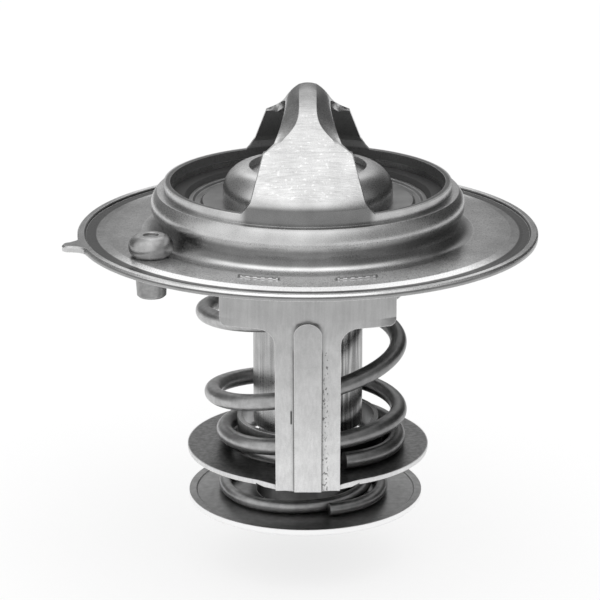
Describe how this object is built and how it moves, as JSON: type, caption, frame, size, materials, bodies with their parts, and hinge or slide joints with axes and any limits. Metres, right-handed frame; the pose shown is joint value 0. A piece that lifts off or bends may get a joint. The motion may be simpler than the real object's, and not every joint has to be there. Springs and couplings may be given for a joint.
{
  "type": "engine thermostat",
  "caption": "Flanged coolant valve worked by a wax element: a bridge frame above, spring-closed main valve, legs with a spring disc, and a sprung bypass disc below.",
  "frame": {"origin": "on the valve's axis, in the top plane of the flange rim", "axes": "+Z along the valve's axis towards the bridge, the bridge's legs at -Y and +Y"},
  "size_m": [0.0553, 0.054, 0.0505],
  "materials": {
    "flange_steel": "satin",
    "frame_steel": "satin",
    "pin_steel": "polished",
    "spring_steel": "satin",
    "disc_steel": "satin",
    "case_metal": "satin",
    "rubber": "matte",
    "wax": "matte",
    "slide_plastic": "matte"
  },
  "bodies": {
    "frame": {"upper_frame": "flange_steel", "lower_frame": "frame_steel", "piston": "pin_steel", "main_spring": "spring_steel"},
    "element": {"element_case": "case_metal", "rubber_sleeve": "rubber", "wax_charge": "wax", "slide_ring": "slide_plastic", "guide_bush": "case_metal", "piston_seal": "rubber", "main_valve_plate": "disc_steel", "main_valve_seal": "rubber", "bypass_stem": "disc_steel", "bypass_retainer": "disc_steel", "bypass_spring": "spring_steel"},
    "bypass": {"bypass_disc": "disc_steel"},
    "jiggle": {"jiggle_pin": "case_metal", "jiggle_cap": "case_metal"}
  },
  "joints": [
    {"name": "element_slide", "type": "slide", "parent": "frame", "child": "element", "axis": [0, 0, -1], "range_m": [0, 0.008], "stiffness_N_per_m": 9000, "springref_m": -0.01, "deforming": ["main_spring"]},
    {"name": "bypass_slide", "type": "slide", "parent": "element", "child": "bypass", "axis": [0, 0, 1], "range_m": [0, 0.0035], "stiffness_N_per_m": 2000, "springref_m": -0.004, "deforming": ["bypass_spring"]},
    {"name": "jiggle_slide", "type": "slide", "parent": "frame", "child": "jiggle", "axis": [0, 0, 1], "range_m": [0, 0.001]}
  ]
}
